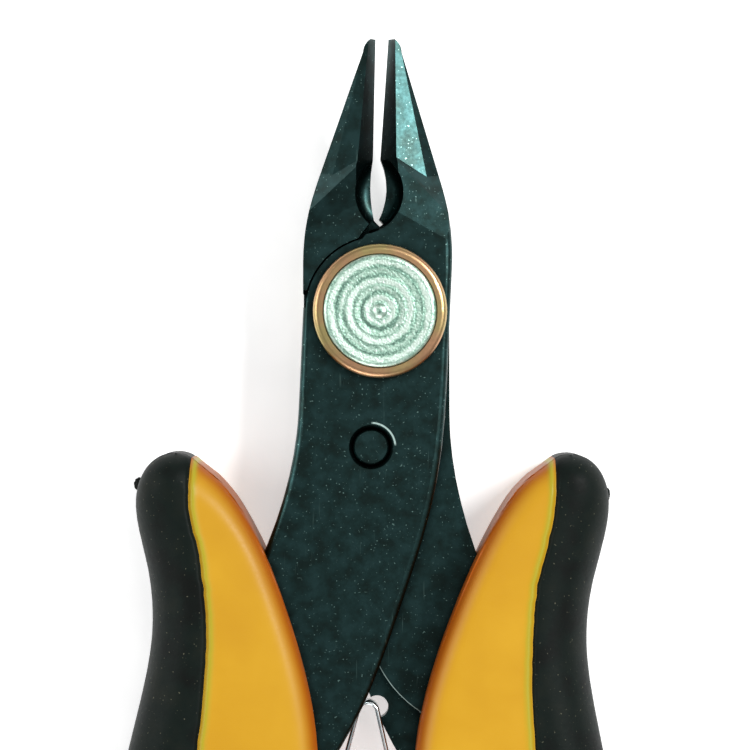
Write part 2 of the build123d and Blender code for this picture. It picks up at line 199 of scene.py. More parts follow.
def add(tree, kind, inputs=None, stops=None, **settings):
    """Adds a node. inputs gives each socket a value or another node's socket, stops fill a colour ramp."""
    made = tree.nodes.new(kind)
    for name, value in settings.items():
        setattr(made, name, value)
    for socket, value in (inputs or {}).items():
        if isinstance(value, bpy.types.NodeSocket):
            tree.links.new(value, made.inputs[socket])
        else:
            made.inputs[socket].default_value = value
    if stops:
        ramp = made.color_ramp.elements
        while len(ramp) < len(stops):
            ramp.new(0.5)
        for element, (place, colour) in zip(ramp, stops):
            element.position = place
            element.color = colour if len(colour) == 4 else (*colour * 3, 1.0)
    return made


def per(size):
    """Texture scale whose features are size metres apart."""
    return 1.0 / size


def new_material(name):
    """An empty node material, its tree, and the place on the object in metres."""
    material = bpy.data.materials.new(name)
    material.use_nodes = True
    material.node_tree.nodes.clear()
    tree = material.node_tree
    place = add(tree, "ShaderNodeTexCoord").outputs["Object"]
    return material, tree, place


def give(names, material):
    """Paints CAD nodes with one material."""
    for name in names:
        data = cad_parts[name].data
        data.materials.clear()
        data.materials.append(material)


def new_piece(name, mesh, material, body, replaced=()):
    """Links a finished mesh as a piece of the object."""
    piece = bpy.data.objects.new(name, mesh)
    bpy.context.scene.collection.objects.link(piece)
    mesh.materials.append(material)
    if body:
        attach(piece, body)
    if replaced:
        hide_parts(*replaced)
    return piece


# ---------------------------------------------------------------------------------------------
# Materials
# ---------------------------------------------------------------------------------------------

# Painted highlights: bright arcs beside the staked stop pin and round the relief in the lower half.
# half_spread is the cosine of half the arc's spread.
STAKED_ARC = {
    "centre": (-0.434 * MM, -10.095 * MM), "radius": 1.8 * MM, "width": 0.17 * MM,
    "towards": math.radians(48), "half_spread": 0.72}
RELIEF_ARC = {
    "centre": (8.37 * MM, -22.35 * MM), "radius": 8.89 * MM, "width": 0.16 * MM,
    "towards": math.radians(-136), "half_spread": 0.934}
ARC_FADE = 0.08     # how far, as a cosine, an arc's ends take to fade in


def painted_highlight_arc(tree, place, centre, radius, width, towards, half_spread):
    """Mask of a painted highlight along an arc about a centre, strongest in one direction."""
    offset = add(tree, "ShaderNodeVectorMath", {0: place, 1: (*centre, 0.0)}, operation="SUBTRACT")
    flat = add(tree, "ShaderNodeVectorMath", {
        0: offset.outputs[0], 1: (1.0, 1.0, 0.0)}, operation="MULTIPLY")
    length = add(tree, "ShaderNodeVectorMath", {0: flat.outputs[0]}, operation="LENGTH")
    away = add(tree, "ShaderNodeMath", {0: length.outputs["Value"], 1: radius}, operation="SUBTRACT")
    away = add(tree, "ShaderNodeMath", {0: away.outputs[0]}, operation="ABSOLUTE")
    band = add(tree, "ShaderNodeMapRange", {
        "Value": away.outputs[0], "From Min": width / 2, "From Max": width / 4},
        interpolation_type="SMOOTHSTEP")
    unit = add(tree, "ShaderNodeVectorMath", {0: flat.outputs[0]}, operation="NORMALIZE")
    aim = add(tree, "ShaderNodeVectorMath", {
        0: unit.outputs[0], 1: (math.cos(towards), math.sin(towards), 0.0)}, operation="DOT_PRODUCT")
    side = add(tree, "ShaderNodeMapRange", {
        "Value": aim.outputs["Value"], "From Min": half_spread, "From Max": half_spread + ARC_FADE})
    mask = add(tree, "ShaderNodeMath", {0: band.outputs[0], 1: side.outputs[0]}, operation="MULTIPLY")
    return mask.outputs[0]


def blackened_steel(name, settings, arc):
    """Stamped carbon steel, black oxide, oiled: a dark teal sheen with specks and scratches, painted
    highlight arcs and painted shade in the recesses.
    """
    material, tree, place = new_material(name)
    blotch = add(tree, "ShaderNodeTexNoise", {"Vector": place, "Scale": per(1.2 * MM), "Detail": 8.0})
    tint = add(tree, "ShaderNodeValToRGB", {"Fac": blotch.outputs["Fac"]}, stops=[
        (0.35, linear("#22312F")), (0.5, linear(settings.oxide)), (0.65, linear("#2C4444"))])
    speck_noise = add(tree, "ShaderNodeTexNoise", {
        "Vector": place, "Scale": per(settings.speck), "Detail": 1.0})
    specks = add(tree, "ShaderNodeValToRGB", {"Fac": speck_noise.outputs["Fac"]}, stops=[
        (0.71, (0.0,)), (0.76, (1.0,))])
    # Hairline scratches run mostly along the tool. They are drawn 0.22 mm apart so that they show, and
    # are twenty times as long as they are far apart.
    stretch = add(tree, "ShaderNodeMapping", {
        "Vector": place, "Rotation": (0.0, 0.0, 0.35), "Scale": (1.0, 0.05, 1.0)})
    scratch_noise = add(tree, "ShaderNodeTexNoise", {
        "Vector": stretch.outputs[0], "Scale": per(0.22 * MM), "Detail": 2.0})
    scratches = add(tree, "ShaderNodeValToRGB", {"Fac": scratch_noise.outputs["Fac"]}, stops=[
        (0.66, (0.0,)), (0.74, (1.0,))])
    patch = add(tree, "ShaderNodeTexNoise", {"Vector": place, "Scale": per(4.0 * MM), "Detail": 2.0})
    patches = add(tree, "ShaderNodeValToRGB", {"Fac": patch.outputs["Fac"]}, stops=[
        (0.5, (0.0,)), (0.62, (0.35,))])
    scratched = add(tree, "ShaderNodeMath", {
        0: scratches.outputs[0], 1: patches.outputs[0]}, operation="MULTIPLY")
    rubbed = add(tree, "ShaderNodeMath", {
        0: specks.outputs[0], 1: scratched.outputs[0]}, operation="MAXIMUM")
    worn = add(tree, "ShaderNodeMix", {
        "Factor": rubbed.outputs[0], FIRST: tint.outputs[0], SECOND: linear(settings.worn)},
        data_type="RGBA")
    # Painted highlight: a bright arc in the highlight colour laid over the worn oxide.
    colour = add(tree, "ShaderNodeMix", {
        "Factor": painted_highlight_arc(tree, place, **arc), FIRST: worn.outputs[MIXED],
        SECOND: linear(settings.arc_highlight)}, data_type="RGBA")
    # Painted shade: ambient occlusion darkens the colour in the joint lines, the groove round the stop pin
    # and the inner corners.
    ambient_occlusion = add(tree, "ShaderNodeAmbientOcclusion", {"Distance": 1.2 * MM}, samples=8)
    painted_shade_factor = add(tree, "ShaderNodeValToRGB", {"Fac": ambient_occlusion.outputs["AO"]}, stops=[
        (0.25, (0.12,)), (0.8, (1.0,))])
    occlusion_shaded = add(tree, "ShaderNodeMix", {
        "Factor": 1.0, FIRST: colour.outputs[MIXED], SECOND: painted_shade_factor.outputs[0]},
        data_type="RGBA", blend_type="MULTIPLY")
    grain = add(tree, "ShaderNodeTexNoise", {"Vector": place, "Scale": per(0.25 * MM), "Detail": 4.0})
    rough = add(tree, "ShaderNodeMapRange", {"Value": grain.outputs["Fac"], "To Min": 0.24, "To Max": 0.42})
    bump = add(tree, "ShaderNodeBump", {
        "Height": grain.outputs["Fac"], "Strength": 0.12, "Distance": 0.03 * MM})
    shader = add(tree, "ShaderNodeBsdfPrincipled", {
        "Base Color": occlusion_shaded.outputs[MIXED], "Metallic": 1.0, "Roughness": rough.outputs[0],
        "Normal": bump.outputs[0]})
    add(tree, "ShaderNodeOutputMaterial", {"Surface": shader.outputs[0]})
    return material


def spun_zinc(settings):
    """Zinc-plated rivet steel, spun over: greenish silver, uneven rings about the pivot, coarse grain."""
    material, tree, place = new_material("zinc_plated_spun_head")
    # A ring wave at scale 1 repeats every pi / 10 units.
    wave_period = math.pi / 10
    wobble = add(tree, "ShaderNodeTexNoise", {"Vector": place, "Scale": per(1.3 * MM), "Detail": 3.0})
    wide = add(tree, "ShaderNodeTexWave", {
        "Vector": place, "Scale": per(settings.spun_pitch) * wave_period, "Distortion": 3.0, "Detail": 4.0,
        "Detail Scale": 3.0}, wave_type="RINGS", rings_direction="Z")
    fine = add(tree, "ShaderNodeTexWave", {
        "Vector": place, "Scale": per(settings.spun_pitch / 2.3) * wave_period, "Distortion": 2.2,
        "Detail": 3.0, "Detail Scale": 5.0}, wave_type="RINGS", rings_direction="Z")
    grain = add(tree, "ShaderNodeTexNoise", {"Vector": place, "Scale": per(0.16 * MM), "Detail": 5.0})
    marks = add(tree, "ShaderNodeMath", {0: wide.outputs["Fac"], 1: fine.outputs["Fac"]}, operation="ADD")
    grained = add(tree, "ShaderNodeMath", {0: grain.outputs["Fac"], 1: 2.2}, operation="MULTIPLY")
    height = add(tree, "ShaderNodeMath", {0: marks.outputs[0], 1: grained.outputs[0]}, operation="ADD")
    share = add(tree, "ShaderNodeMapRange", {
        "Value": height.outputs[0], "From Min": 0.9, "From Max": 3.1})
    colour = add(tree, "ShaderNodeValToRGB", {"Fac": share.outputs[0]}, stops=[
        (0.1, linear("#6E9182")), (0.45, linear(settings.zinc)), (0.85, linear("#E2F6EA"))])
    rough = add(tree, "ShaderNodeMapRange", {"Value": wobble.outputs["Fac"], "To Min": 0.32, "To Max": 0.5})
    bump = add(tree, "ShaderNodeBump", {
        "Height": share.outputs[0], "Strength": 0.7, "Distance": 0.05 * MM})
    shader = add(tree, "ShaderNodeBsdfPrincipled", {
        "Base Color": colour.outputs[0], "Metallic": 1.0, "Roughness": rough.outputs[0],
        "Normal": bump.outputs[0]})
    add(tree, "ShaderNodeOutputMaterial", {"Surface": shader.outputs[0]})
    return material


def copper_ring(settings):
    """Copper-plated cup ring, turned: pinkish metal with yellow patches and a soft polish."""
    material, tree, place = new_material("copper_plated_turned_ring")
    patches = add(tree, "ShaderNodeTexNoise", {"Vector": place, "Scale": per(3.0 * MM), "Detail": 3.0})
    colour = add(tree, "ShaderNodeValToRGB", {"Fac": patches.outputs["Fac"]}, stops=[
        (0.38, linear(settings.copper)), (0.62, linear(settings.brass))])
    grain = add(tree, "ShaderNodeTexNoise", {"Vector": place, "Scale": per(0.2 * MM), "Detail": 3.0})
    rough = add(tree, "ShaderNodeMapRange", {"Value": grain.outputs["Fac"], "To Min": 0.25, "To Max": 0.42})
    bump = add(tree, "ShaderNodeBump", {
        "Height": grain.outputs["Fac"], "Strength": 0.1, "Distance": 0.02 * MM})
    shader = add(tree, "ShaderNodeBsdfPrincipled", {
        "Base Color": colour.outputs[0], "Metallic": 1.0, "Roughness": rough.outputs[0],
        "Normal": bump.outputs[0]})
    add(tree, "ShaderNodeOutputMaterial", {"Surface": shader.outputs[0]})
    return material


def sintered_bronze():
    """Oil-filled sintered bronze, pressed from powder: dull brown metal full of small pores."""
    material, tree, place = new_material("bronze_sintered_bush")
    pores = add(tree, "ShaderNodeTexVoronoi", {"Vector": place, "Scale": per(0.18 * MM)})
    colour = add(tree, "ShaderNodeValToRGB", {"Fac": pores.outputs["Distance"]}, stops=[
        (0.1, linear("#5A4120")), (0.5, linear("#A9803F"))])
    bump = add(tree, "ShaderNodeBump", {
        "Height": pores.outputs["Distance"], "Strength": 0.2, "Distance": 0.02 * MM})
    shader = add(tree, "ShaderNodeBsdfPrincipled", {
        "Base Color": colour.outputs[0], "Metallic": 1.0, "Roughness": 0.5, "Normal": bump.outputs[0]})
    add(tree, "ShaderNodeOutputMaterial", {"Surface": shader.outputs[0]})
    return material


def spring_steel():
    """Stainless spring strip, rolled bright: near-mirror metal with fine lines along the strip."""
    material, tree, place = new_material("stainless_spring_strip_rolled")
    stretch = add(tree, "ShaderNodeMapping", {"Vector": place, "Scale": (0.06, 0.06, 1.0)})
    lines = add(tree, "ShaderNodeTexNoise", {
        "Vector": stretch.outputs[0], "Scale": per(0.12 * MM), "Detail": 2.0})
    colour = add(tree, "ShaderNodeValToRGB", {"Fac": lines.outputs["Fac"]}, stops=[
        (0.35, linear("#B9C4C8")), (0.65, linear("#E6ECEE"))])
    bump = add(tree, "ShaderNodeBump", {
        "Height": lines.outputs["Fac"], "Strength": 0.15, "Distance": 0.01 * MM})
    shader = add(tree, "ShaderNodeBsdfPrincipled", {
        "Base Color": colour.outputs[0], "Metallic": 1.0, "Roughness": 0.22, "Normal": bump.outputs[0]})
    add(tree, "ShaderNodeOutputMaterial", {"Surface": shader.outputs[0]})
    return material


def yellow_plastic(settings):
    """Polypropylene, injection moulded: warm yellow, satin, fine mould grain, and painted shade in orange
    along the rounded edges.
    """
    material, tree, place = new_material("polypropylene_moulded_yellow")
    # Painted shade: the "edge" attribute turns the core orange along its rounded edge.
    edge_shade_mask = add(tree, "ShaderNodeAttribute", attribute_name="edge").outputs["Fac"]
    near_lip = add(tree, "ShaderNodeAttribute", attribute_name="lip").outputs["Fac"]
    cloud = add(tree, "ShaderNodeTexNoise", {"Vector": place, "Scale": per(6.0 * MM), "Detail": 3.0})
    body = add(tree, "ShaderNodeValToRGB", {"Fac": cloud.outputs["Fac"]}, stops=[
        (0.3, linear("#C08D14")), (0.5, linear(settings.yellow)), (0.7, linear("#C9981B"))])
    edge_shaded_colour = add(tree, "ShaderNodeMix", {
        "Factor": edge_shade_mask, FIRST: body.outputs[0], SECOND: linear(settings.edge_shade_colour)}, data_type="RGBA")
    colour = add(tree, "ShaderNodeMix", {
        "Factor": near_lip, FIRST: edge_shaded_colour.outputs[MIXED], SECOND: linear(settings.lip)},
        data_type="RGBA")
    # Spark-eroded mould grain is about 0.1 mm, drawn at 0.22 mm so that it shows.
    grain = add(tree, "ShaderNodeTexNoise", {"Vector": place, "Scale": per(0.22 * MM), "Detail": 3.0})
    rough = add(tree, "ShaderNodeMapRange", {"Value": grain.outputs["Fac"], "To Min": 0.36, "To Max": 0.54})
    bump = add(tree, "ShaderNodeBump", {
        "Height": grain.outputs["Fac"], "Strength": 0.12, "Distance": 0.03 * MM})
    shader = add(tree, "ShaderNodeBsdfPrincipled", {
        "Base Color": colour.outputs[MIXED], "Roughness": rough.outputs[0], "IOR": 1.49,
        "Specular IOR Level": 0.3, "Normal": bump.outputs[0]})
    add(tree, "ShaderNodeOutputMaterial", {"Surface": shader.outputs[0]})
    return material


def black_rubber(settings):
    """Thermoplastic rubber, moulded over the core: near-black, soft sheen, fine grain, a little dust."""
    material, tree, place = new_material("thermoplastic_rubber_moulded_black")
    cloud = add(tree, "ShaderNodeTexNoise", {"Vector": place, "Scale": per(3.0 * MM), "Detail": 4.0})
    body = add(tree, "ShaderNodeValToRGB", {"Fac": cloud.outputs["Fac"]}, stops=[
        (0.35, linear("#0B0F0D")), (0.5, linear(settings.black)), (0.7, linear("#161B16"))])
    dust_noise = add(tree, "ShaderNodeTexNoise", {"Vector": place, "Scale": per(0.2 * MM), "Detail": 1.0})
    dust = add(tree, "ShaderNodeValToRGB", {"Fac": dust_noise.outputs["Fac"]}, stops=[
        (0.72, (0.0,)), (0.78, (0.6,))])
    colour = add(tree, "ShaderNodeMix", {
        "Factor": dust.outputs[0], FIRST: body.outputs[0], SECOND: linear("#6B6A58")}, data_type="RGBA")
    grain = add(tree, "ShaderNodeTexNoise", {"Vector": place, "Scale": per(0.3 * MM), "Detail": 4.0})
    rough = add(tree, "ShaderNodeMapRange", {"Value": grain.outputs["Fac"], "To Min": 0.42, "To Max": 0.62})
    bump = add(tree, "ShaderNodeBump", {
        "Height": grain.outputs["Fac"], "Strength": 0.25, "Distance": 0.04 * MM})
    shader = add(tree, "ShaderNodeBsdfPrincipled", {
        "Base Color": colour.outputs[MIXED], "Roughness": rough.outputs[0], "IOR": 1.5,
        "Specular IOR Level": 0.1, "Normal": bump.outputs[0]})
    add(tree, "ShaderNodeOutputMaterial", {"Surface": shader.outputs[0]})
    return material


def light_table(glow):
    """Opal acrylic sheet, cast, lit from below: an even white with a faint mottle and hardly any shadow."""
    material, tree, place = new_material("acrylic_opal_lit_from_below")
    mottle = add(tree, "ShaderNodeTexNoise", {"Vector": place, "Scale": per(4.0 * MM), "Detail": 4.0})
    colour = add(tree, "ShaderNodeValToRGB", {"Fac": mottle.outputs["Fac"]}, stops=[
        (0.3, linear("#F6F6F6")), (0.7, linear("#FBFBFB"))])
    shader = add(tree, "ShaderNodeBsdfPrincipled", {
        "Base Color": colour.outputs[0], "Roughness": 0.9, "Emission Color": colour.outputs[0],
        "Emission Strength": glow})
    add(tree, "ShaderNodeOutputMaterial", {"Surface": shader.outputs[0]})
    return material


# ---------------------------------------------------------------------------------------------
# Grip meshes
# ---------------------------------------------------------------------------------------------

SCAN_HEIGHT = LAP_Z + 4.05 * MM      # just above the part of the core that lies under the cover
SCAN_FROM = 0.1                      # rays start this far out, well clear of the pliers
OUTLINE_INSET = 0.01 * MM            # the first and last row lie this far inside a piece
FACE_INSET = 0.012 * MM
END_RUN = 7.0 * MM                   # length over which the end rounding becomes the side rounding
THINNEST = 0.001 * MM                # rows narrower than this are left out
CALM_WIDTH = 1.5 * MM                # the parting line wanders less where the piece is narrower
GROOVE_WIDTH = 0.16 * MM
LIP_PLACE, LIP_WIDTH, LIP_HEIGHT = 0.34 * MM, 0.2 * MM, 0.05 * MM
CROWN_DEPTH, CROWN_RUN = 0.25 * MM, 3.0 * MM
WALL_LEVELS = (0.6, 0.2, -0.2, -0.6)     # rows of the side walls, as shares of the face height
SAG_FROM, SAG_RUN = -19.0 * MM, 6.0 * MM
GRIP_SHARP = math.radians(50)

GATE_Y = -13.3 * MM
GATE_RADIUS = 0.42 * MM
GATE_LUMPS = ((0.35, 0.28 * MM), (0.12, 0.09 * MM))      # strength and size of the tear's lumps
GATE_SQUASH = 0.8


def finder(name):
    """A ray tree of one CAD node."""
    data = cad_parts[name].data
    return BVHTree.FromPolygons(
        [vertex.co.copy() for vertex in data.vertices], [tuple(face.vertices) for face in data.polygons])


def width_at(tree, y):
    """Lowest and highest x of a node on one row, or None."""
    first = tree.ray_cast(Vector((-SCAN_FROM, y, SCAN_HEIGHT)), Vector((1, 0, 0)))[0]
    last = tree.ray_cast(Vector((SCAN_FROM, y, SCAN_HEIGHT)), Vector((-1, 0, 0)))[0]
    if first is None or last is None:
        return None
    return first.x, last.x


def spread(count):
    """count + 1 shares from 0 to 1, crowded at both ends."""
    return [(1 - math.cos(math.pi * step / count)) / 2 for step in range(count + 1)]


def wander(y, amount):
    """Small sideways steps of the parting line."""
    fine = noise.noise(Vector((y / (0.7 * MM), 3.1, 0.0)))
    coarse = noise.noise(Vector((y / (2.6 * MM), 7.7, 0.0)))
    return amount * (fine + 1.4 * coarse)


def grip_outline(hand, settings):
    """Points round the whole grip, each with the rounding radius there."""
    trees = [finder(f"{hand}_grip_core"), finder(f"{hand}_grip_cover")]
    low = min(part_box(f"{hand}_grip_{part}")[0].y for part in ("core", "cover"))
    high = max(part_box(f"{hand}_grip_{part}")[1].y for part in ("core", "cover"))
    points, radii = [], []
    for share in spread(2 * settings.rows):
        y = low + OUTLINE_INSET + share * (high - low - 2 * OUTLINE_INSET)
        spans = [span for span in (width_at(tree, y) for tree in trees) if span]
        if not spans:
            continue
        edges = min(span[0] for span in spans), max(span[1] for span in spans)
        from_end = min(1.0, min(y - low, high - y) / END_RUN)
        blend = from_end ** 2 * (3 - 2 * from_end)
        for x, is_high in zip(edges, (False, True)):
            inner = is_high == (TOWARDS_BODY[hand] > 0)
            full = settings.core_round if inner else settings.cover_round
            points.append((x, y))
            radii.append(settings.end_round + blend * (full - settings.end_round))
    return np.array(points), np.array(radii)


def heights(points, outline, radii):
    """Height of the moulded face over the lap plane, and the distance from the outline."""
    gaps = np.linalg.norm(points[:, None, :] - outline[None, :, :], axis=2)
    short = np.maximum(0.0, radii[None, :] - gaps)
    fall = radii[None, :] - np.sqrt(np.maximum(0.0, radii[None, :] ** 2 - short ** 2))
    return GRIP_HALF_HEIGHT - fall.max(axis=1), gaps.min(axis=1)


def face_rows(hand, part, settings):
    """Rows of points across one moulding, and whether its parting line is on the high side of x."""
    tree = finder(f"{hand}_grip_{part}")
    low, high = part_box(f"{hand}_grip_{part}")
    parting_is_high = (TOWARDS_BODY[hand] < 0) == (part == "core")
    rows = []
    for share in spread(settings.rows):
        y = low.y + FACE_INSET + share * (high.y - low.y - 2 * FACE_INSET)
        span = width_at(tree, y)
        if not span or span[1] - span[0] < THINNEST:
            continue
        left, right = span
        shift = wander(y, settings.ragged) * min(1.0, (right - left) / CALM_WIDTH)
        if parting_is_high:
            right += shift
        else:
            left += shift
        rows.append([(left + step * (right - left), y) for step in spread(settings.columns)])
    return rows, parting_is_high


def close_skin(bm, top, bottom, walls, across):
    """Faces of a closed moulding from its top and bottom points and the strips of its two side walls."""
    last_row = len(walls[0]) - 1
    last_column = across - 1
    for row in range(last_row):
        for column in range(last_column):
            first = row * across + column
            corners = (first, first + 1, first + 1 + across, first + across)
            bm.faces.new([top[corner] for corner in corners])
            bm.faces.new([bottom[corner] for corner in reversed(corners)])
        for column, strips in walls.items():
            for level in range(len(WALL_LEVELS) + 1):
                quad = (strips[row][level], strips[row + 1][level], strips[row + 1][level + 1],
                        strips[row][level + 1])
                bm.faces.new(quad if column == 0 else quad[::-1])
    for row in (0, last_row):
        inner = slice(row * across + 1, row * across + last_column)
        bm.faces.new([*walls[0][row], *bottom[inner], *reversed(walls[last_column][row]),
                      *reversed(top[inner])])


def finished(bm, name, sharp=math.pi):
    """The mesh of a bmesh, smooth except where two faces meet at more than the sharp angle."""
    for face in bm.faces:
        face.smooth = True
    for edge in bm.edges:
        if len(edge.link_faces) == 2 and edge.calc_face_angle() > sharp:
            edge.smooth = False
    mesh = bpy.data.meshes.new(name)
    bm.to_mesh(mesh)
    bm.free()
    return mesh


def moulding(name, hand, part, settings, outline, radii):
    """One shot of a grip as a closed mesh: two faces, rounded edge, side wall and parting wall."""
    is_core = part == "core"
    rows, parting_is_high = face_rows(hand, part, settings)
    flat = np.array([point for row in rows for point in row])
    tops, gaps = heights(flat, outline, radii)
    across = settings.columns + 1
    parting = np.array([row[settings.columns if parting_is_high else 0][0] for row in rows])
    from_parting = np.abs(flat[:, 0] - np.repeat(parting, across))
    groove = settings.groove_depth * np.exp(-(from_parting / GROOVE_WIDTH) ** 2)
    lip = np.exp(-((from_parting - LIP_PLACE) / LIP_WIDTH) ** 2) if is_core else np.zeros(len(flat))
    crown = CROWN_DEPTH * np.exp(-gaps / CROWN_RUN)
    tops = tops - groove - crown + LIP_HEIGHT * lip
    bm = bmesh.new()
    edge_shade_layer = bm.verts.layers.float.new("edge")
    lip_layer = bm.verts.layers.float.new("lip")

    def raised(index, height):
        x, y = flat[index]
        made = bm.verts.new((x, y, LAP_Z + height))
        # Painted shade: the "edge" attribute is strongest along the core's rounded edge.
        made[edge_shade_layer] = float(np.exp(-(gaps[index] / settings.edge_shade_width) ** 2)) if is_core else 0.0
        made[lip_layer] = float(lip[index])
        return made

    top = [raised(index, tops[index]) for index in range(len(flat))]
    bottom = [raised(index, -tops[index]) for index in range(len(flat))]
    walls = {}
    for column in (0, settings.columns):
        walls[column] = []
        for index in range(column, len(flat), across):
            middle = [raised(index, level * tops[index]) for level in WALL_LEVELS]
            walls[column].append([top[index], *middle, bottom[index]])
    close_skin(bm, top, bottom, walls, across)
    if hand == "left":
        for vertex in bm.verts:
            near_top = min(1.0, max(0.0, (vertex.co.y - SAG_FROM) / SAG_RUN))
            vertex.co.y -= settings.left_sag * near_top
    bmesh.ops.remove_doubles(bm, verts=bm.verts, dist=1e-6)
    bmesh.ops.dissolve_degenerate(bm, edges=bm.edges, dist=1e-7)
    bmesh.ops.recalc_face_normals(bm, faces=bm.faces)
    return finished(bm, name, GRIP_SHARP)


def gate_mark(name, hand):
    """The torn stub where the rubber was fed into the mould, on the outside of the flare."""
    span = width_at(finder(f"{hand}_grip_cover"), GATE_Y)
    outer = span[0] if TOWARDS_BODY[hand] > 0 else span[1]
    bm = bmesh.new()
    bmesh.ops.create_icosphere(bm, subdivisions=4, radius=GATE_RADIUS)
    for vertex in bm.verts:
        swell = 1 + sum(strength * noise.noise(vertex.co / size) for strength, size in GATE_LUMPS)
        vertex.co *= swell
        vertex.co.x *= GATE_SQUASH
    bmesh.ops.translate(bm, verts=bm.verts, vec=(outer, GATE_Y, LAP_Z))
    return finished(bm, name)


# ---------------------------------------------------------------------------------------------
# Spring mesh
# ---------------------------------------------------------------------------------------------

FOOT_INSET = 0.1 * MM                # the feet stop this far inside the spring's box
LONGEST_RUN = 0.4 * MM               # longest straight piece, so that the leaf bends evenly
BEND_STEPS = 24
LEAF_ROUND = 0.6                     # rounding of the leaf's long edges, as a share of half its thickness
LEAF_SHARP = math.radians(60)


def rounded_path(corners, radius, steps):
    """A polyline with every inner corner replaced by a tangent arc."""
    path = [corners[0]]
    for before, corner, after in zip(corners, corners[1:], corners[2:]):
        to_before = (before - corner).normalized()
        to_after = (after - corner).normalized()
        half = to_before.angle(to_after) / 2
        centre = corner + (to_before + to_after).normalized() * (radius / math.sin(half))
        start = corner + to_before * (radius / math.tan(half)) - centre
        stop = corner + to_after * (radius / math.tan(half)) - centre
        sweep = start.angle(stop)
        turn = 1 if start.cross(stop).z > 0 else -1
        for step in range(steps + 1):
            angle = turn * sweep * step / steps
            cosine, sine = math.cos(angle), math.sin(angle)
            path.append(centre + Vector((
                start.x * cosine - start.y * sine, start.x * sine + start.y * cosine, 0)))
    path.append(corners[-1])
    return path


def divided(path, longest):
    """The path with every run cut so that none is longer than longest."""
    points = [path[0]]
    for start, stop in zip(path, path[1:]):
        count = max(1, math.ceil((stop - start).length / longest))
        points += [start.lerp(stop, step / count) for step in range(1, count + 1)]
    return points


def hairpin(name, settings):
    """The return spring as a strip with rounded long edges, and the two ends of its blend."""
    low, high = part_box("return_spring")
    middle_x = (low.x + high.x) / 2
    half_width = (high.z - low.z) / 2
    foot_reach = (high.x - low.x) / 2
    bend_y = high.y - settings.bend_radius - settings.thickness / 2
    slant = math.atan2(settings.knee_reach - settings.bend_radius, settings.knee_drop)
    apex = Vector((middle_x, bend_y + settings.bend_radius / math.sin(slant), 0))
    legs = []
    for way in (-1, 1):
        knee = Vector((middle_x + way * settings.knee_reach, bend_y - settings.knee_drop, 0))
        foot = Vector((middle_x + way * (foot_reach - FOOT_INSET), low.y + FOOT_INSET, 0))
        legs.append((foot, knee))
    corners = [legs[0][0], legs[0][1], apex, legs[1][1], legs[1][0]]
    path = divided(rounded_path(corners, settings.bend_radius, BEND_STEPS), LONGEST_RUN)
    half = settings.thickness / 2
    soft = half * LEAF_ROUND
    section = [(half, half_width - soft), (half - soft, half_width), (soft - half, half_width),
               (-half, half_width - soft), (-half, soft - half_width), (soft - half, -half_width),
               (half - soft, -half_width), (half, soft - half_width)]
    bm = bmesh.new()
    rings = []
    for index, point in enumerate(path):
        ahead = path[min(index + 1, len(path) - 1)] - path[max(index - 1, 0)]
        across = Vector((-ahead.y, ahead.x, 0)).normalized()
        rings.append([bm.verts.new(point + across * u + Vector((0, 0, LAP_Z + v))) for u, v in section])
    for first, second in zip(rings, rings[1:]):
        for place in range(len(section)):
            after = (place + 1) % len(section)
            bm.faces.new((first[place], first[after], second[after], second[place]))
    bm.faces.new(rings[0])
    bm.faces.new(list(reversed(rings[-1])))
    bmesh.ops.recalc_face_normals(bm, faces=bm.faces)
    mesh = finished(bm, name, LEAF_SHARP)
    return mesh, Vector((low.x, bend_y, LAP_Z)), Vector((high.x, bend_y, LAP_Z))


# ---------------------------------------------------------------------------------------------
# Operators
# ---------------------------------------------------------------------------------------------

EDGE_ANGLE = math.radians(32)            # steel edges sharper than this get the fine bevel
FLOOR_REACH = 3.0
FLOOR_GAP = 0.01 * MM
SENSOR_WIDTH = 36.0
VIEW_CENTRE = (-0.265 * MM, -4.748 * MM)


class PLIERS_OT_steel(Operator):
    """Finish both steel halves and the stop pin in blackened steel with fine bevelled edges"""

    bl_idname = "pliers.steel"
    bl_label = "Steel Halves"

    def execute(self, context):
        settings = context.scene.pliers_steel
        give(("upper_half", "stop_pin"), blackened_steel("blackened_steel_staked", settings, STAKED_ARC))
        give(("lower_half",), blackened_steel("blackened_steel_stamped", settings, RELIEF_ARC))
        for name in ("upper_half", "lower_half", "stop_pin"):
            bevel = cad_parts[name].modifiers.new("edge bevel", "BEVEL")
            bevel.width = settings.edge_bevel
            bevel.segments = 2
            bevel.limit_method = "ANGLE"
            bevel.angle_limit = EDGE_ANGLE
            bevel.harden_normals = True
        return {"FINISHED"}


class PLIERS_OT_pivot(Operator):
    """Finish the spun rivet, its cup rings and the bush"""

    bl_idname = "pliers.pivot"
    bl_label = "Pivot"

    def execute(self, context):
        settings = context.scene.pliers_pivot
        give(("pivot_rivet",), spun_zinc(settings))
        give(("front_ring", "rear_ring"), copper_ring(settings))
        give(("pivot_bush",), sintered_bronze())
        return {"FINISHED"}


class PLIERS_OT_grips(Operator):
    """Mould both two-colour grips over the handles"""

    bl_idname = "pliers.grips"
    bl_label = "Grips"

    def execute(self, context):
        settings = context.scene.pliers_grips
        materials = {"core": yellow_plastic(settings), "cover": black_rubber(settings)}
        for hand, body in SIDES.items():
            outline, radii = grip_outline(hand, settings)
            for part, material in materials.items():
                name = f"{hand}_grip_{part}_moulding"
                mesh = moulding(name, hand, part, settings, outline, radii)
                new_piece(name, mesh, material, body, (f"{hand}_grip_{part}",))
            name = f"{hand}_gate_mark"
            new_piece(name, gate_mark(name, hand), materials["cover"], body)
        return {"FINISHED"}


class PLIERS_OT_spring(Operator):
    """Form the hairpin return spring between the handles"""

    bl_idname = "pliers.spring"
    bl_label = "Return Spring"

    def execute(self, context):
        mesh, left, right = hairpin("hairpin_spring", context.scene.pliers_spring)
        piece = new_piece("hairpin_spring", mesh, spring_steel(), None)
        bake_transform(piece)
        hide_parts("return_spring")
        return {"FINISHED"}


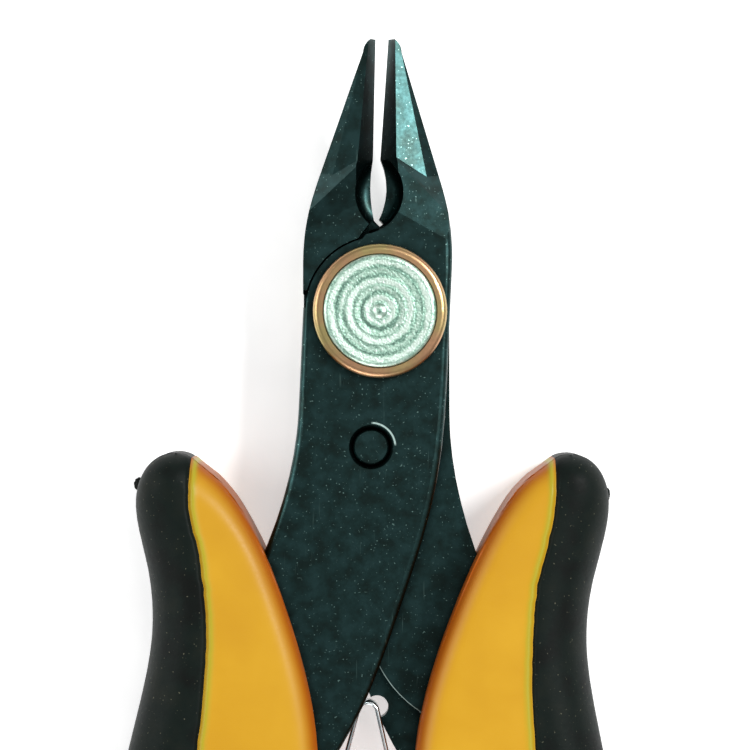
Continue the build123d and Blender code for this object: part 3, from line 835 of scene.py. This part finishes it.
class PLIERS_OT_stage(Operator):
    """Lay the light table, hang the soft lights and set the camera"""

    bl_idname = "pliers.stage"
    bl_label = "Stage"

    def execute(self, context):
        settings = context.scene.pliers_stage
        scene = context.scene
        mesh = bpy.data.meshes.new("floor")
        signs = ((-1, -1), (1, -1), (1, 1), (-1, 1))
        floor_z = GRIP_LOW.z - FLOOR_GAP
        mesh.from_pydata([(x * FLOOR_REACH, y * FLOOR_REACH, floor_z) for x, y in signs], [], [(0, 1, 2, 3)])
        floor = bpy.data.objects.new("floor", mesh)
        mesh.materials.append(light_table(settings.glow))
        scene.collection.objects.link(floor)

        lens = bpy.data.cameras.new("camera")
        lens.lens = settings.lens
        lens.sensor_width = SENSOR_WIDTH
        lens.clip_start = 0.01
        distance = settings.view_width * settings.lens / SENSOR_WIDTH
        camera = bpy.data.objects.new("camera", lens)
        front_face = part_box("upper_half")[1].z
        camera.location = (*VIEW_CENTRE, front_face + distance)
        camera.rotation_euler = (0, 0, settings.roll)
        scene.collection.objects.link(camera)
        scene.camera = camera

        aim = Vector((0, 0, front_face))
        # Each light's name, place and disc size in metres, and power in watts
        lights = (
            ("key", (0.537, 0.292, 0.791), 0.26, settings.key),
            ("edge", (0.13, 0.24, 0.96), 0.09, settings.edge),
            ("fill left", (-0.85, 0.1, 0.5), 0.6, settings.fill),
            ("fill front", (-0.2, -0.9, 0.45), 0.6, settings.fill),
        )
        for name, place, size, power in lights:
            data = bpy.data.lights.new(name, "AREA")
            data.shape = "DISK"
            data.size = size
            data.energy = power
            lamp = bpy.data.objects.new(name, data)
            lamp.location = place
            lamp.rotation_euler = (aim - Vector(place)).to_track_quat("-Z", "Y").to_euler()
            scene.collection.objects.link(lamp)

        world = bpy.data.worlds.new("studio")
        scene.world = world
        world.use_nodes = True
        surround = world.node_tree.nodes["Background"].inputs
        surround["Color"].default_value = (1, 1, 1, 1)
        surround["Strength"].default_value = settings.sky
        scene.view_settings.view_transform = "Standard"
        return {"FINISHED"}


class PLIERS_PT_panel(Panel):
    """Lists the pliers' operators and settings"""

    bl_idname = "PLIERS_PT_panel"
    bl_label = "Flush Cutting Pliers"
    bl_space_type = "VIEW_3D"
    bl_region_type = "UI"
    bl_category = "Pliers"

    def draw(self, context):
        for operator, group in STEPS:
            self.layout.operator(operator.bl_idname)
            settings = getattr(context.scene, group)
            for name in type(settings).__annotations__:
                self.layout.prop(settings, name)


STEPS = (
    (PLIERS_OT_steel, "pliers_steel"),
    (PLIERS_OT_pivot, "pliers_pivot"),
    (PLIERS_OT_grips, "pliers_grips"),
    (PLIERS_OT_spring, "pliers_spring"),
    (PLIERS_OT_stage, "pliers_stage"),
)
GROUPS = {
    "pliers_steel": SteelSettings,
    "pliers_pivot": PivotSettings,
    "pliers_grips": GripSettings,
    "pliers_spring": SpringSettings,
    "pliers_stage": StageSettings,
}


def register():
    for name, group in GROUPS.items():
        bpy.utils.register_class(group)
        setattr(bpy.types.Scene, name, PointerProperty(type=group))
    for operator, _ in STEPS:
        bpy.utils.register_class(operator)
    bpy.utils.register_class(PLIERS_PT_panel)


def unregister():
    bpy.utils.unregister_class(PLIERS_PT_panel)
    for operator, _ in reversed(STEPS):
        bpy.utils.unregister_class(operator)
    for name, group in GROUPS.items():
        delattr(bpy.types.Scene, name)
        bpy.utils.unregister_class(group)


def main():
    """Builds the whole scene."""
    register()
    bpy.ops.pliers.steel()
    bpy.ops.pliers.pivot()
    bpy.ops.pliers.grips()
    bpy.ops.pliers.spring()
    bpy.ops.pliers.stage()


if __name__ == "__main__":
    main()
